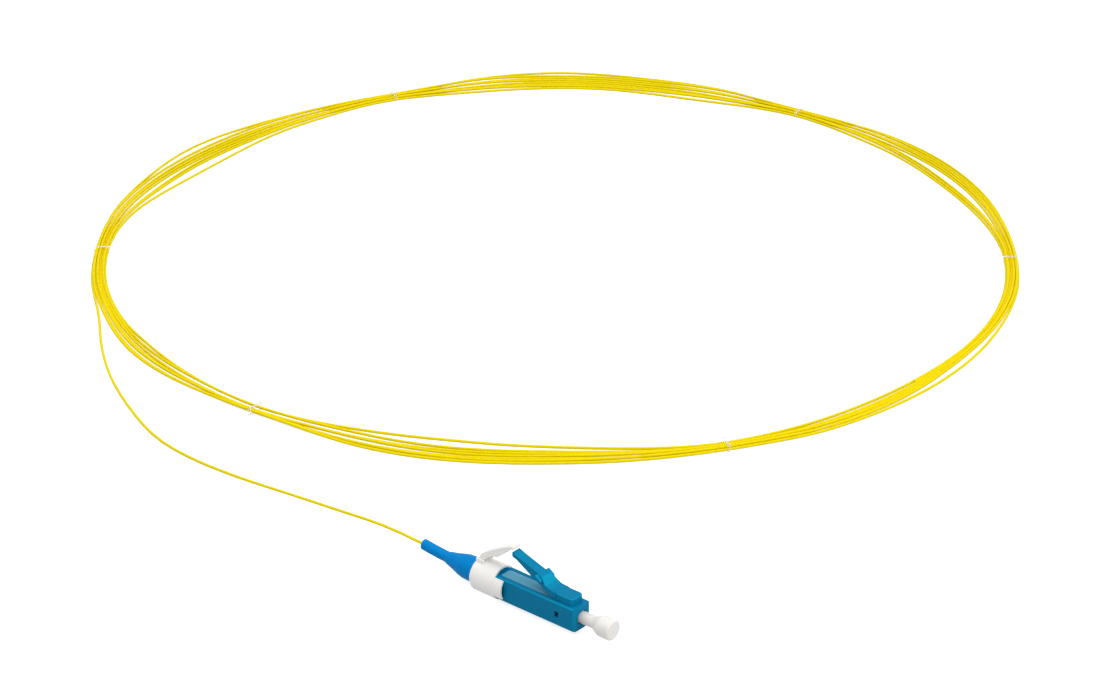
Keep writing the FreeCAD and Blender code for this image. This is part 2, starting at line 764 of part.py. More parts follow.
def rounded_path(points):
    """Straight runs joined by tangent arcs, each as large as its two runs allow."""
    edges = []
    radii = []
    last = points[0]
    for before, corner, after in zip(points, points[1:], points[2:]):
        back = (before - corner).normalize()
        ahead = (after - corner).normalize()
        half_turn = (math.pi - back.getAngle(ahead)) / 2
        shorter = min(before.distanceToPoint(corner), after.distanceToPoint(corner))
        cut = ARC_SHARE * shorter
        radius = cut / math.tan(half_turn)
        middle = (back + ahead).normalize()
        inset = radius / math.cos(half_turn) - radius
        start = corner + back * cut
        end = corner + ahead * cut
        edges.append(Part.LineSegment(last, start).toShape())
        edges.append(Part.Arc(start, corner + middle * inset, end).toShape())
        radii.append(radius)
        last = end
    edges.append(Part.LineSegment(last, points[-1]).toShape())
    return Part.Wire(edges), radii


def build_lead():
    """Fibre from the boot's tail over the floor to the coil."""
    tail = FreeCAD.Vector(size("boot_tail - mid_station"), 0, size("axis_height"))
    points = [tail] + [FreeCAD.Vector(*point) for point in LEAD_POINTS]
    path, radii = rounded_path([point - tail for point in points])
    radius = size("fibre_radius")
    start = path.OrderedEdges[0]
    section = Part.Wire(Part.Circle(FreeCAD.Vector(0, 0, 0), start.tangentAt(0), radius).toShape())
    item = doc.addObject("Part::Feature", "fibre_lead")
    item.Shape = path.makePipeShell([section], True, False)
    item.Label = "fibre_lead"
    item.Placement = FreeCAD.Placement(tail, FreeCAD.Rotation())
    print("lead arc radii, mm:", [round(value, 1) for value in radii])
    print("lead volume against section x length:", round(item.Shape.Volume, 3),
          round(math.pi * radius ** 2 * path.Length, 3))
    return item


def coil_rim(side):
    """Closed smooth curve along the coil's outer (+1) or inner (-1) rim."""
    tied = side * size("bundle_width") / 2
    points = []
    for index, start in enumerate(TIE_ANGLES):
        following = (index + 1) % len(TIE_ANGLES)
        sweep = (TIE_ANGLES[following] - start) % 360
        fanned = FAN_SHIFTS[index] + side * FAN_WIDTHS[index] / 2
        for step in range(COIL_STEPS):
            along = step / COIL_STEPS
            ease = along * along * (3 - 2 * along)
            shift = TIE_SHIFTS[index] + (TIE_SHIFTS[following] - TIE_SHIFTS[index]) * ease
            bulge = math.sin(math.pi * along) ** 2
            reach = size("coil_radius") + (shift + tied) * (1 - bulge) + fanned * bulge
            turn = math.radians(start + sweep * along)
            points.append(FreeCAD.Vector(reach * math.cos(turn), reach * math.sin(turn), 0))
    curve = Part.BSplineCurve()
    curve.interpolate(Points=points, PeriodicFlag=True)
    return Part.Wire(curve.toShape())


def build_coil():
    """Outer shape of the loose coil: narrow at its ties, fanned out between them."""
    outside = Part.Face(coil_rim(1)).extrude(FreeCAD.Vector(0, 0, size("bundle_height")))
    inside = Part.Face(coil_rim(-1)).extrude(FreeCAD.Vector(0, 0, size("bundle_height")))
    item = doc.addObject("Part::Feature", "fibre_coil")
    item.Shape = outside.cut(inside)
    item.Label = "fibre_coil"
    item.Placement = FreeCAD.Placement(
        FreeCAD.Vector(size("coil_center_x"), size("coil_center_y"), size("coil_bottom")),
        FreeCAD.Rotation())
    return item


def build_tie(number, angle, shift):
    """Thin loop round the coil's turns, lying on the floor."""
    body = doc.addObject("PartDesign::Body", "coil_tie_%d" % number)
    body.Label = "coil_tie_%d" % number
    inner = "(bundle_width / 2 + tie_clearance)"
    outer = "(bundle_width / 2 + tie_clearance + tie_thickness)"
    sketch = new_sketch(body, "loop", "XZ_Plane")
    add_outline(sketch, box_points("0 - " + outer, outer, "0",
                                   "bundle_height + 2 * tie_clearance + 2 * tie_thickness"))
    add_outline(sketch, box_points("0 - " + inner, inner, "tie_thickness",
                                   "bundle_height + 2 * tie_clearance + tie_thickness"))
    pad(body, "band", sketch, "tie_width", both_ways=True)
    turn = math.radians(angle)
    body.Placement = FreeCAD.Placement(
        FreeCAD.Vector(0, 0, 0), FreeCAD.Rotation(FreeCAD.Vector(0, 0, 1), angle))
    reach = "(coil_radius + %.3f) * " % shift
    body.setExpression("Placement.Base.x",
                       linked("coil_center_x + " + reach + "%.9f" % math.cos(turn)))
    body.setExpression("Placement.Base.y",
                       linked("coil_center_y + " + reach + "%.9f" % math.sin(turn)))
    return body


def check_and_write(items):
    """Stop at any failed object, then write one file for each sub-part."""
    doc.recompute()
    for item in doc.Objects:
        if "Invalid" in item.State or "Error" in item.State:
            raise RuntimeError(item.Name + " failed: " + ", ".join(item.State))
    for item in items:
        if item.Shape.isNull() or not item.Shape.isValid():
            raise RuntimeError(item.Label + " has no valid shape")
    os.makedirs(PARTS_FOLDER, exist_ok=True)
    for item in items:
        item.Shape.exportStep(os.path.join(PARTS_FOLDER, item.Label + ".step"))
        box = item.Shape.BoundBox
        print("%-16s solids %d  volume %9.3f  x %.2f..%.2f  y %.2f..%.2f  z %.2f..%.2f" % (
            item.Label, len(item.Shape.Solids), item.Shape.Volume,
            box.XMin, box.XMax, box.YMin, box.YMax, box.ZMin, box.ZMax))


fill_sheet()
sub_parts = [
    build_housing(), build_latch(), build_clip(), build_trigger_arm(), build_boot(),
    build_rear_body(), build_ferrule(), build_flange(), build_spring(), build_guide_tube(),
    build_dust_cap(), build_glass_fibre(), build_inner_fibre(), build_lead(), build_coil(),
]
places = zip(TIE_ANGLES, TIE_SHIFTS)
sub_parts += [build_tie(number, *place) for number, place in enumerate(places, start=1)]
check_and_write(sub_parts)
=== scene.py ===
import math
import random
import bmesh
import bpy
from mathutils import Matrix, Vector


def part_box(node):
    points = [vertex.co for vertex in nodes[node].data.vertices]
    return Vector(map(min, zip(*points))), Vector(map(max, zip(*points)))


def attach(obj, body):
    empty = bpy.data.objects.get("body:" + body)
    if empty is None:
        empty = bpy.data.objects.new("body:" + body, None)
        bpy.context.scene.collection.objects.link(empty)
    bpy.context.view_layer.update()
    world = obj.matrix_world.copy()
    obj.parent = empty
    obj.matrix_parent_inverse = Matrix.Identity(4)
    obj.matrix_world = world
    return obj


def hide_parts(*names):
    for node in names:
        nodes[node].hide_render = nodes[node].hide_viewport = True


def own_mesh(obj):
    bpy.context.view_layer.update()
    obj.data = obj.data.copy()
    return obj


# Looks of the fibre pigtail. Lengths are metres in the frame of the CAD, unless a name or
# comment says otherwise, and angles are radians unless a name says so. Colours are the 0 to
# 255 values that a screen shows, unless a comment says linear.

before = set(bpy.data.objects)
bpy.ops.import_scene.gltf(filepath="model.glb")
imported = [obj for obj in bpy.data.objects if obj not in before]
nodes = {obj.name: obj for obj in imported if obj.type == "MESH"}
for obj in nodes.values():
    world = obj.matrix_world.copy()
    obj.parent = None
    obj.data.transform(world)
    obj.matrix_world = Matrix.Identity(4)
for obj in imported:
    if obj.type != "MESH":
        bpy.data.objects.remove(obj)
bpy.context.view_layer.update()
MM = 0.001
MICROMETRE = 1e-6

# Camera: place and direction fitted to the photograph's plug and coil, and its focal
# length in pixels of the 1100 pixel wide image
CAMERA_MM = (302.49, -345.32, 275.58)
CAMERA_FORWARD = (-0.58281, 0.68274, -0.44067)
CAMERA_RIGHT = (0.76057, 0.64925, 0.0)
CAMERA_RANGE = (0.01, 20.0)
FOCAL_PX = 3000.0
IMAGE_WIDTH_PX = 1100.0
SENSOR_MM = 36.0

# Fibre: its route to the coil is the CAD lead's, raised near the boot, whose tail it bends
# up. The bend starts at a place along the plug's axis and grows to the boot's end, and the
# boot is cut across there so that it bends smoothly.
FIBRE_DIAMETER_MM = 0.6
AXIS_HEIGHT_MM = 3.2
BEND_START_MM = -12.1
BEND_LIFT_MM = 0.62
BEND_CUTS = 9
LEAD_POINTS_MM = [
    (-31.1, 0.15, 4.2),
    (-43.6, 0.8, 2.5),
    (-57.1, 0.95, 1.2),
    (-70.1, 0.1, 0.45),
    (-83.1, -0.45, 0.3),
    (-95.1, 0.9, 0.3),
    (-107.6, 5.9, 0.3),
    (-121.1, 12.6, 0.35),
    (-134.1, 21.6, 0.45),
    (-145.1, 31.2, 0.6),
]
# Fineness of the round section, and of the spline between its control points
ROUND_STEPS = 3
SPLINE_STEPS = 3
SPLINE_ORDER = 3

# Coil: the strands are packed in two layers at each tie, and fan out between ties. The
# ties, and so the strands in them, are a little off the coil's circle.
COIL_CENTER_MM = (-93.8, 121.3)
COIL_RADIUS_MM = 100.5
TIE_ANGLES_DEG = [36.5, 93.9, 154.4, 221.4, 273.1, 329.7]
TIE_SHIFTS_MM = [0.3, 0.4, 0.2, 1.0, -0.8, -0.6]
# For each stretch between ties, at its inner eighths: inner and outer strand of the fan,
# about the coil's radius
FANS_MM = [
    [(-1.5, 1.7), (-1.8, 2.5), (-1.6, 3.6), (-1.6, 4.4), (-1.9, 4.9), (-2.4, 4.5), (-2.3, 3.6)],
    [(-2.6, 4.3), (-2.8, 6.3), (-2.2, 7.3), (-1.3, 8.2), (-1.5, 8.2), (-2.1, 7.2), (-2.6, 5.0)],
    [(-2.6, 2.6), (-3.4, 3.5), (-4.1, 4.2), (-3.8, 4.4), (-2.8, 4.2), (-1.4, 3.6), (-0.6, 3.0)],
    [(-0.3, 2.5), (-0.5, 2.6), (-1.0, 2.4), (-1.4, 3.1), (-1.9, 3.1), (-2.4, 2.3), (-2.3, 1.5)],
    [(-3.9, 0.9), (-4.8, 2.0), (-5.1, 2.0), (-5.6, 1.4), (-6.2, 0.6), (-5.1, 0.6), (-3.5, 0.6)],
    [(-2.0, 1.9), (-2.4, 1.8), (-2.6, 1.2), (-2.2, 0.3), (-1.5, 0.5), (-1.1, 1.3), (-0.8, 1.9)],
]
# Strands that stray from the fan: stretch, strands counted from the inside, push outwards
# in millimetres, and the middle and reach of the push as shares of the stretch
STRAYS = [
    (0, (0, 1, 2), -1.8, 0.42, 0.42),
    (1, (7,), 1.5, 0.62, 0.22),
    (1, (0,), -1.1, 0.26, 0.2),
    (2, (7,), 1.5, 0.46, 0.24),
    (2, (0, 1, 2), -1.5, 0.74, 0.22),
    (2, (0,), -2.2, 0.56, 0.3),
    (3, (0,), -1.3, 0.66, 0.25),
    (4, (0,), -2.0, 0.36, 0.3),
    (4, (7,), 0.9, 0.18, 0.16),
    (5, (7,), 1.5, 0.55, 0.35),
]
# Strands in a tie, from the inside: place about the middle of the tie, and layer
PACKED_MM = [
    (-1.28, 0), (-0.96, 1), (-0.64, 0), (0.0, 0),
    (0.32, 1), (0.64, 0), (0.96, 1), (1.28, 0),
]
LAYER_RISE_MM = 0.51
TIED_HEIGHT_MM = 0.47
FLOOR_HEIGHT_MM = 0.3
# The turns start at this angle, and each takes one strand's place, counted from the inside
COIL_JOIN_DEG = -122.0
COIL_TURNS = 7.67
TURN_STRANDS = [7, 5, 6, 3, 4, 2, 0, 1]
# Share of a turn after which the fibre moves over to its next place
CHANGE_FROM = 0.8
STEPS_PER_GAP = 10
# The strands are free of a tie after one part in this many of a stretch, and wander from
# their places by up to this much, at random but the same each run
FREED_BY = 6.0
WANDER_MM = 0.14
SEED = 11

# Spring
SPRING_WIRE_MM = 0.3
SPRING_RADIUS_MM = 1.25
SPRING_TURNS = 7.5
SPRING_CLOSED_TURNS = 1.25
SPRING_STEPS = 20

# Plastics, ceramic and glass: light and dark tone, roughness, depth of the grain in
# micrometres, size of the grain in millimetres, and values of the shader's own sockets
MATT = {"Specular IOR Level": 0.05}
SATIN = {"Specular IOR Level": 0.3}
CLEAR = {"Transmission Weight": 0.88, "IOR": 1.3}
TEAL = ((0, 126, 168), (0, 116, 158), 0.45, 6.0, 0.25, MATT)
MOULDED = {
    "teal_plastic": TEAL,
    "teal_body": TEAL,
    "white_plastic": ((252, 250, 247), (245, 243, 239), 0.5, 5.0, 0.3, SATIN),
    "blue_rubber": ((0, 140, 214), (0, 122, 198), 0.5, 10.0, 0.2, MATT),
    "stop_plastic": ((16, 60, 120), (12, 50, 104), 0.4, 5.0, 0.25, {}),
    "ceramic": ((240, 240, 236), (232, 232, 226), 0.12, 0.5, 0.4, {}),
    "tube_plastic": ((224, 224, 218), (212, 212, 206), 0.4, 3.0, 0.3, {}),
    "fibre_jacket": ((244, 223, 0), (236, 212, 0), 0.5, 2.0, 0.5, MATT),
    "cap_plastic": ((242, 239, 236), (231, 228, 224), 0.42, 4.0, 0.4, SATIN),
    "tie_film": ((250, 250, 250), (242, 244, 244), 0.22, 3.0, 0.4, CLEAR),
    "glass": ((236, 244, 246), (226, 236, 240), 0.05, 0.5, 0.4, {}),
}
# Clouds of colour, coarser than the grain, and the grain's relief and uneven gloss
CLOUD_SCALE = 0.35
CLOUD_DETAIL = 3.0
GRAIN_DETAIL = 4.0
GRAIN_STRENGTH = 0.25
GLOSS_SPREAD = 0.06
# Machined metals: linear colour, roughness, and size of the turning marks in millimetres
TURNED = {
    "spring_steel": ((0.62, 0.62, 0.63), 0.28, 0.3),
    "flange_metal": ((0.72, 0.7, 0.66), 0.24, 0.36),
}
MARK_SHADE = 0.88
MARK_DISTORTION = 0.6
MARK_DETAIL = 1.0
MARK_STRENGTH = 0.2
MARK_DEPTH_UM = 4.0

# Painted shade on the cap's stem, darker towards the plug where its bore shades it: from
# and to a place along the axis, and darkest share
CAP_PAINTED_SHADE_MM = (14.8, 18.5)
CAP_PAINTED_SHADE = 0.66
# Painted highlight on the rounded edges of the teal pieces, strongest on edges that face
# upwards to the lamp: it grows as the largest part of the normal falls from EDGE_FLAT to
# EDGE_ROUND. It is full where the normal's upward part is EDGE_UPWARD or more, and falls to
# EDGE_SIDEWAYS of that where it is none.
EDGE_HIGHLIGHT_COLOR = (10, 158, 194)
EDGE_HIGHLIGHT_SHARE = 0.75
EDGE_FLAT = 0.98
EDGE_ROUND = 0.8
EDGE_UPWARD = 0.6
EDGE_SIDEWAYS = 0.3
# Grained panel on the top of the plug, with its grain counted per metre. Its lighter
# grey-blue colour is painted sheen, the dull reflection of the light off the grained top.
PANEL_BOX_MM = ((-2.7, -1.3, 5.34), (9.4, 1.3, 5.4))
PANEL_CORNER_MM = 0.6
PANEL_SHEEN_COLOR = (104, 177, 206)
PANEL_GRAIN = 9000.0
PANEL_SHADE = 0.82

FINISHES = {
    "plug_housing": "teal_body",
    "latch_lever": "teal_plastic",
    "clip_hood": "white_plastic",
    "trigger_arm": "white_plastic",
    "boot": "blue_rubber",
    "rear_body": "stop_plastic",
    "ferrule": "ceramic",
    "ferrule_flange": "flange_metal",
    "spring": "spring_steel",
    "guide_tube": "tube_plastic",
    "dust_cap": "cap_plastic",
    "glass_fibre": "glass",
    "inner_fibre": "fibre_jacket",
}
FINISHES.update({"coil_tie_%d" % number: "tie_film" for number in range(1, 7)})
# Edges that are softened, by the width of their bevel, and the angles from which an edge
# shades sharply and is bevelled
SOFT_EDGES_MM = {
    "plug_housing": 0.06, "latch_lever": 0.1, "clip_hood": 0.12, "trigger_arm": 0.12,
}
BOOT_EDGE_MM = 0.1
BEVEL_STEPS = 2
SHARP_DEG = 32
BEVEL_DEG = 35

# Floor, in linear colours, and the world's light on the object
WHITE = (1.0, 1.0, 1.0, 1.0)
FLOOR_TONE = (0.6, 0.6, 0.6, 1.0)
FLOOR_ROUGHNESS = 0.95
FLOOR_HALF_WIDTH = 3.0
FLOOR_GLOW = 0.8
WORLD_LIGHT = 0.42
# Lamps: name, place, aim, size and watts
LAMPS = [
    ("key", (-0.05, -0.1, 1.1), (-0.05, 0.06, 0.0), 1.8, 13.4),
    ("side", (1.0, 0.1, 0.5), (0.0, 0.05, 0.0), 0.5, 3.6),
]


def add_object(name, data):
    """New object in the scene."""
    item = bpy.data.objects.new(name, data)
    bpy.context.scene.collection.objects.link(item)
    return item


def add_camera():
    """Camera at the photograph's viewing angle."""
    data = bpy.data.cameras.new("camera")
    data.sensor_width = SENSOR_MM
    data.lens = FOCAL_PX / IMAGE_WIDTH_PX * SENSOR_MM
    data.clip_start, data.clip_end = CAMERA_RANGE
    camera = add_object("camera", data)
    forward = Vector(CAMERA_FORWARD).normalized()
    right = Vector(CAMERA_RIGHT).normalized()
    up = right.cross(forward)
    turn = Matrix((right, up, -forward)).transposed().to_4x4()
    camera.matrix_world = Matrix.Translation(Vector(CAMERA_MM) * MM) @ turn
    bpy.context.scene.camera = camera


def smooth(share):
    """Share from 0 to 1 that starts and ends gently."""
    return share * share * (3 - 2 * share)


def next_tie(number):
    """Number of the tie at the end of a stretch, which has its first tie's number."""
    return (number + 1) % len(TIE_ANGLES_DEG)


def between_ties(angle_deg):
    """Number of the stretch an angle lies in, and how far along it, from 0 to 1."""
    past_deg, number = min(((angle_deg - start) % 360, number)
                           for number, start in enumerate(TIE_ANGLES_DEG))
    sweep_deg = (TIE_ANGLES_DEG[next_tie(number)] - TIE_ANGLES_DEG[number]) % 360
    return number, past_deg / sweep_deg


def fan_edges(number, along):
    """Inner and outer strand of a stretch's fan, about the coil's radius, by a smooth curve."""
    first_tie, last_tie = [(PACKED_MM[0][0] + shift, PACKED_MM[-1][0] + shift)
                           for shift in (TIE_SHIFTS_MM[number], TIE_SHIFTS_MM[next_tie(number)])]
    # The end rows are doubled, because the curve needs a row before and after each span
    rows = [first_tie, first_tie] + FANS_MM[number] + [last_tie, last_tie]
    spot = along * (len(rows) - 3)
    low = min(int(spot), len(rows) - 4)
    part = spot - low
    edges = []
    for before, first, second, after in zip(*rows[low:low + 4]):
        edges.append(first + part / 2 * (
            second - before
            + part * (2 * before - 5 * first + 4 * second - after)
            + part * part * (3 * first - before - 3 * second + after)))
    return edges


def strand_place(rank, angle_deg, wander):
    """Radius and height, in millimetres, of the strand of a rank at an angle.

    The rank is a strand's number from the inside, with a fraction while the fibre moves
    over from one strand's place to another's.
    """
    number, along = between_ties(angle_deg)
    fan = math.sin(math.pi * along) ** 2
    inner, outer = fan_edges(number, along)
    strand = round(rank)
    low = min(int(rank), len(PACKED_MM) - 2)
    part = rank - low
    # Place that the strand has in the ties, and its layer there
    ease = smooth(along)
    shift = TIE_SHIFTS_MM[number] * (1 - ease) + TIE_SHIFTS_MM[next_tie(number)] * ease
    tied = shift + PACKED_MM[low][0] * (1 - part) + PACKED_MM[low + 1][0] * part
    layer = PACKED_MM[low][1] * (1 - part) + PACKED_MM[low + 1][1] * part
    # Place that it has in the fan, and how far it strays from it
    spread = inner + (outer - inner) * rank / (len(PACKED_MM) - 1)
    stray = wander[number][strand]
    for stretch, strands, push, middle, reach in STRAYS:
        off = abs(along - middle) / reach
        if stretch == number and strand in strands and off < 1:
            stray += push * math.cos(math.pi / 2 * off) ** 2 * (1 - 2 * abs(rank - strand))
    loose = min(1.0, FREED_BY * along, FREED_BY * (1 - along))
    radius = COIL_RADIUS_MM + tied + (spread - tied) * loose + stray * fan
    # The strands sink to the floor as far as the fan has room for them side by side
    height = TIED_HEIGHT_MM + layer * LAYER_RISE_MM
    room = min(1.0, (outer - inner) / (len(PACKED_MM) * FIBRE_DIAMETER_MM))
    resting = FLOOR_HEIGHT_MM + layer * LAYER_RISE_MM * (1 - room)
    return radius, height + (resting - height) * fan


def coil_points():
    """Control points of the coil's turns, wound on clockwise from the lead."""
    picker = random.Random(SEED)
    wander = [[picker.uniform(-WANDER_MM, WANDER_MM) for _ in PACKED_MM]
              for _ in TIE_ANGLES_DEG]
    steps = len(TIE_ANGLES_DEG) * STEPS_PER_GAP
    step_deg = 360.0 / steps
    # A spline of order 3 runs inside the control points of a circle, at this share of
    # their radius
    pull = 0.75 + 0.25 * math.cos(math.radians(step_deg))
    last = len(TURN_STRANDS) - 1
    points = []
    for step in range(1, round(COIL_TURNS * steps) + 1):
        angle_deg = COIL_JOIN_DEG - step * step_deg
        turn, part = divmod(step / steps, 1.0)
        now = TURN_STRANDS[min(int(turn), last)]
        after = TURN_STRANDS[min(int(turn) + 1, last)]
        change = max(0.0, (part - CHANGE_FROM) / (1 - CHANGE_FROM))
        rank = now + (after - now) * smooth(change)
        radius, height = strand_place(rank, angle_deg, wander)
        turn_rad = math.radians(angle_deg)
        points.append((COIL_CENTER_MM[0] + radius / pull * math.cos(turn_rad),
                       COIL_CENTER_MM[1] + radius / pull * math.sin(turn_rad), height))
    return points


def add_line(name, kind, points, diameter_mm):
    """Curve object of one round spline, from points in millimetres, and the spline."""
    curve = bpy.data.curves.new(name, "CURVE")
    curve.dimensions = "3D"
    # The bevel is in millimetres, and each point's radius scales it to metres
    curve.bevel_depth = diameter_mm / 2
    curve.bevel_resolution = ROUND_STEPS
    curve.use_fill_caps = True
    spline = curve.splines.new(kind)
    spline.points.add(len(points) - 1)
    for item, point in zip(spline.points, points):
        item.co = (point[0] * MM, point[1] * MM, point[2] * MM, 1.0)
        item.radius = MM
    return add_object(name, curve), spline


def add_fibre():
    """The yellow buffered fibre, from the boot's tail to its bare end in the coil."""
    tail = (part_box("boot")[0].x / MM, 0.0, AXIS_HEIGHT_MM + BEND_LIFT_MM)
    points = [tail] + LEAD_POINTS_MM + coil_points()
    fibre, spline = add_line("fibre", "NURBS", points, FIBRE_DIAMETER_MM)
    fibre.data.resolution_u = SPLINE_STEPS
    spline.order_u = SPLINE_ORDER
    spline.use_endpoint_u = True
    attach(fibre, "plug")
    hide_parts("fibre_lead", "fibre_coil")
    return fibre


def new_piece(name, mesh, node):
    """Object of a mesh that rides on the plug and stands for a CAD node."""
    piece = add_object(name, mesh)
    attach(piece, "plug")
    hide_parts(node)
    return piece


def bent_copy(name, new_name):
    """Copy of a CAD node along the plug's axis, whose rear is bent gently upwards."""
    start = BEND_START_MM * MM
    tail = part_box("boot")[0].x
    shape = bmesh.new()
    shape.from_mesh(nodes[name].data)
    for cut in range(1, BEND_CUTS + 1):
        place = start + (tail - start) * cut / (BEND_CUTS + 1)
        bmesh.ops.bisect_plane(shape, geom=shape.verts[:] + shape.edges[:] + shape.faces[:],
                               plane_co=(place, 0, 0), plane_no=(1, 0, 0))
    for vert in shape.verts:
        share = max(0.0, (start - vert.co.x) / (start - tail))
        vert.co.z += BEND_LIFT_MM * MM * share ** 2
    mesh = bpy.data.meshes.new(new_name)
    shape.to_mesh(mesh)
    shape.free()
    return new_piece(new_name, mesh, name)


def wire_ahead(turn, length_mm):
    """How far along the spring its wire is after some turns. The end turns are closed."""
    closed_mm = SPRING_CLOSED_TURNS * SPRING_WIRE_MM
    open_turns = SPRING_TURNS - 2 * SPRING_CLOSED_TURNS
    if turn < SPRING_CLOSED_TURNS:
        return turn * SPRING_WIRE_MM
    if turn < SPRING_TURNS - SPRING_CLOSED_TURNS:
        share = (turn - SPRING_CLOSED_TURNS) / open_turns
        return closed_mm + share * (length_mm - 2 * closed_mm)
    return length_mm - (SPRING_TURNS - turn) * SPRING_WIRE_MM


def add_spring():
    """Compression spring with closed ends."""
    low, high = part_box("spring")
    first_mm = low.x / MM + SPRING_WIRE_MM / 2
    length_mm = (high.x - low.x) / MM - SPRING_WIRE_MM
    points = []
    for step in range(round(SPRING_TURNS * SPRING_STEPS) + 1):
        turn = step / SPRING_STEPS
        angle = math.tau * turn
        points.append((first_mm + wire_ahead(turn, length_mm),
                       SPRING_RADIUS_MM * math.cos(angle),
                       AXIS_HEIGHT_MM + SPRING_RADIUS_MM * math.sin(angle)))
    line = add_line("spring_line", "POLY", points, SPRING_WIRE_MM)[0]
    bpy.context.view_layer.update()
    mesh = bpy.data.meshes.new_from_object(line)
    bpy.data.objects.remove(line)
    piece = new_piece("spring_wound", mesh, "spring")
    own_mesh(piece)
    return piece


def srgb(color):
    """Linear colour with full opacity, from the 0 to 255 values that a screen shows."""
    linear = []
    for value in color:
        share = value / 255.0
        linear.append(share / 12.92 if share <= 0.04045 else ((share + 0.055) / 1.055) ** 2.4)
    return (*linear, 1.0)


def scaled(color, share):
    """Colour made darker, with full opacity."""
    return (*[value * share for value in color[:3]], 1.0)


def put(node, inputs):
    """Set a node's inputs, or link them where the value is a socket."""
    for key, value in inputs.items():
        if isinstance(value, bpy.types.NodeSocket):
            node.id_data.links.new(value, node.inputs[key])
        else:
            node.inputs[key].default_value = value
    return node


def add(tree, kind, inputs=None, **settings):
    """New shader node of a kind."""
    node = tree.nodes.new("ShaderNode" + kind)
    for key, value in settings.items():
        setattr(node, key, value)
    return put(node, inputs or {})


def calculated(tree, operation, first, second=0.0):
    """Socket with the result of a calculation with one or two values."""
    return add(tree, "Math", {0: first, 1: second}, operation=operation).outputs["Value"]


def mixed(tree, factor, first, second):
    """Socket with a mix of two colours."""
    return add(tree, "Mix", {"Factor": factor, "A": first, "B": second},
               data_type="RGBA").outputs["Result"]


def new_material(name):
    """New material and its shader."""
    material = bpy.data.materials.new(name)
    material.use_nodes = True
    return material, shader_of(material)


def shader_of(material):
    """Shader node of a material."""
    return material.node_tree.nodes["Principled BSDF"]


def moulded(name, light, dark, roughness, bump_um, grain_mm, shader_values):
    """Moulded or extruded plastic: faint cloudy colour, fine grain and uneven gloss."""
    material, shader = new_material(name)
    tree = material.node_tree
    place = add(tree, "TexCoord").outputs["Object"]
    clouds = add(tree, "TexNoise", {"Vector": place, "Scale": CLOUD_SCALE / (grain_mm * MM),
                                    "Detail": CLOUD_DETAIL}).outputs["Fac"]
    grain = add(tree, "TexNoise", {"Vector": place, "Scale": 1.0 / (grain_mm * MM),
                                   "Detail": GRAIN_DETAIL}).outputs["Fac"]
    gloss = add(tree, "MapRange", {"Value": grain, "To Min": roughness - GLOSS_SPREAD,
                                   "To Max": roughness + GLOSS_SPREAD})
    bump = add(tree, "Bump", {"Height": grain, "Strength": GRAIN_STRENGTH,
                              "Distance": bump_um * MICROMETRE})
    put(shader, {"Base Color": mixed(tree, clouds, srgb(dark), srgb(light)),
                 "Roughness": gloss.outputs["Result"], "Normal": bump.outputs["Normal"],
                 **shader_values})
    return material


def turned_metal(name, color, roughness, mark_mm):
    """Machined metal with fine turning marks."""
    material, shader = new_material(name)
    tree = material.node_tree
    place = add(tree, "TexCoord").outputs["Object"]
    marks = add(tree, "TexWave", {"Vector": place, "Scale": 1.0 / (mark_mm * MM),
                                  "Distortion": MARK_DISTORTION, "Detail": MARK_DETAIL},
                bands_direction="X").outputs["Fac"]
    bump = add(tree, "Bump", {"Height": marks, "Strength": MARK_STRENGTH,
                              "Distance": MARK_DEPTH_UM * MICROMETRE})
    tint = mixed(tree, marks, scaled(color, MARK_SHADE), scaled(color, 1.0))
    put(shader, {"Base Color": tint, "Normal": bump.outputs["Normal"], "Metallic": 1.0,
                 "Roughness": roughness})
    return material


def add_painted_shade(material, start_mm, end_mm, share):
    """Painted shade: darken a material along the plug's axis, from a share at the start to none.
    """
    tree, shader = material.node_tree, shader_of(material)
    place = add(tree, "TexCoord").outputs["Object"]
    along = add(tree, "SeparateXYZ", {"Vector": place}).outputs["X"]
    ramp = add(tree, "MapRange", {"Value": along, "From Min": start_mm * MM,
                                  "From Max": end_mm * MM, "To Min": share, "To Max": 1.0},
               interpolation_type="SMOOTHSTEP")
    plain = shader.inputs["Base Color"].links[0].from_socket
    shaded = add(tree, "VectorMath", {0: plain, "Scale": ramp.outputs["Result"]},
                 operation="SCALE")
    put(shader, {"Base Color": shaded.outputs["Vector"]})


def add_painted_edge_highlight(material, color, share):
    """Painted highlight: lighten the rounded edges, whose normals lie between the directions of
    the faces, most where they face up.
    """
    tree, shader = material.node_tree, shader_of(material)
    normal = add(tree, "TexCoord").outputs["Normal"]
    size = add(tree, "VectorMath", {0: normal}, operation="ABSOLUTE").outputs["Vector"]
    parts = add(tree, "SeparateXYZ", {"Vector": size}).outputs
    most = calculated(tree, "MAXIMUM", parts["X"], parts["Y"])
    most = calculated(tree, "MAXIMUM", most, parts["Z"])
    rounded = add(tree, "MapRange", {"Value": most, "From Min": EDGE_FLAT,
                                     "From Max": EDGE_ROUND, "To Max": share})
    height = add(tree, "SeparateXYZ", {"Vector": normal}).outputs["Z"]
    upward = add(tree, "MapRange", {"Value": height, "From Max": EDGE_UPWARD,
                                    "To Min": EDGE_SIDEWAYS})
    factor = calculated(tree, "MULTIPLY", rounded.outputs["Result"], upward.outputs["Result"])
    plain = shader.inputs["Base Color"].links[0].from_socket
    put(shader, {"Base Color": mixed(tree, factor, plain, color)})


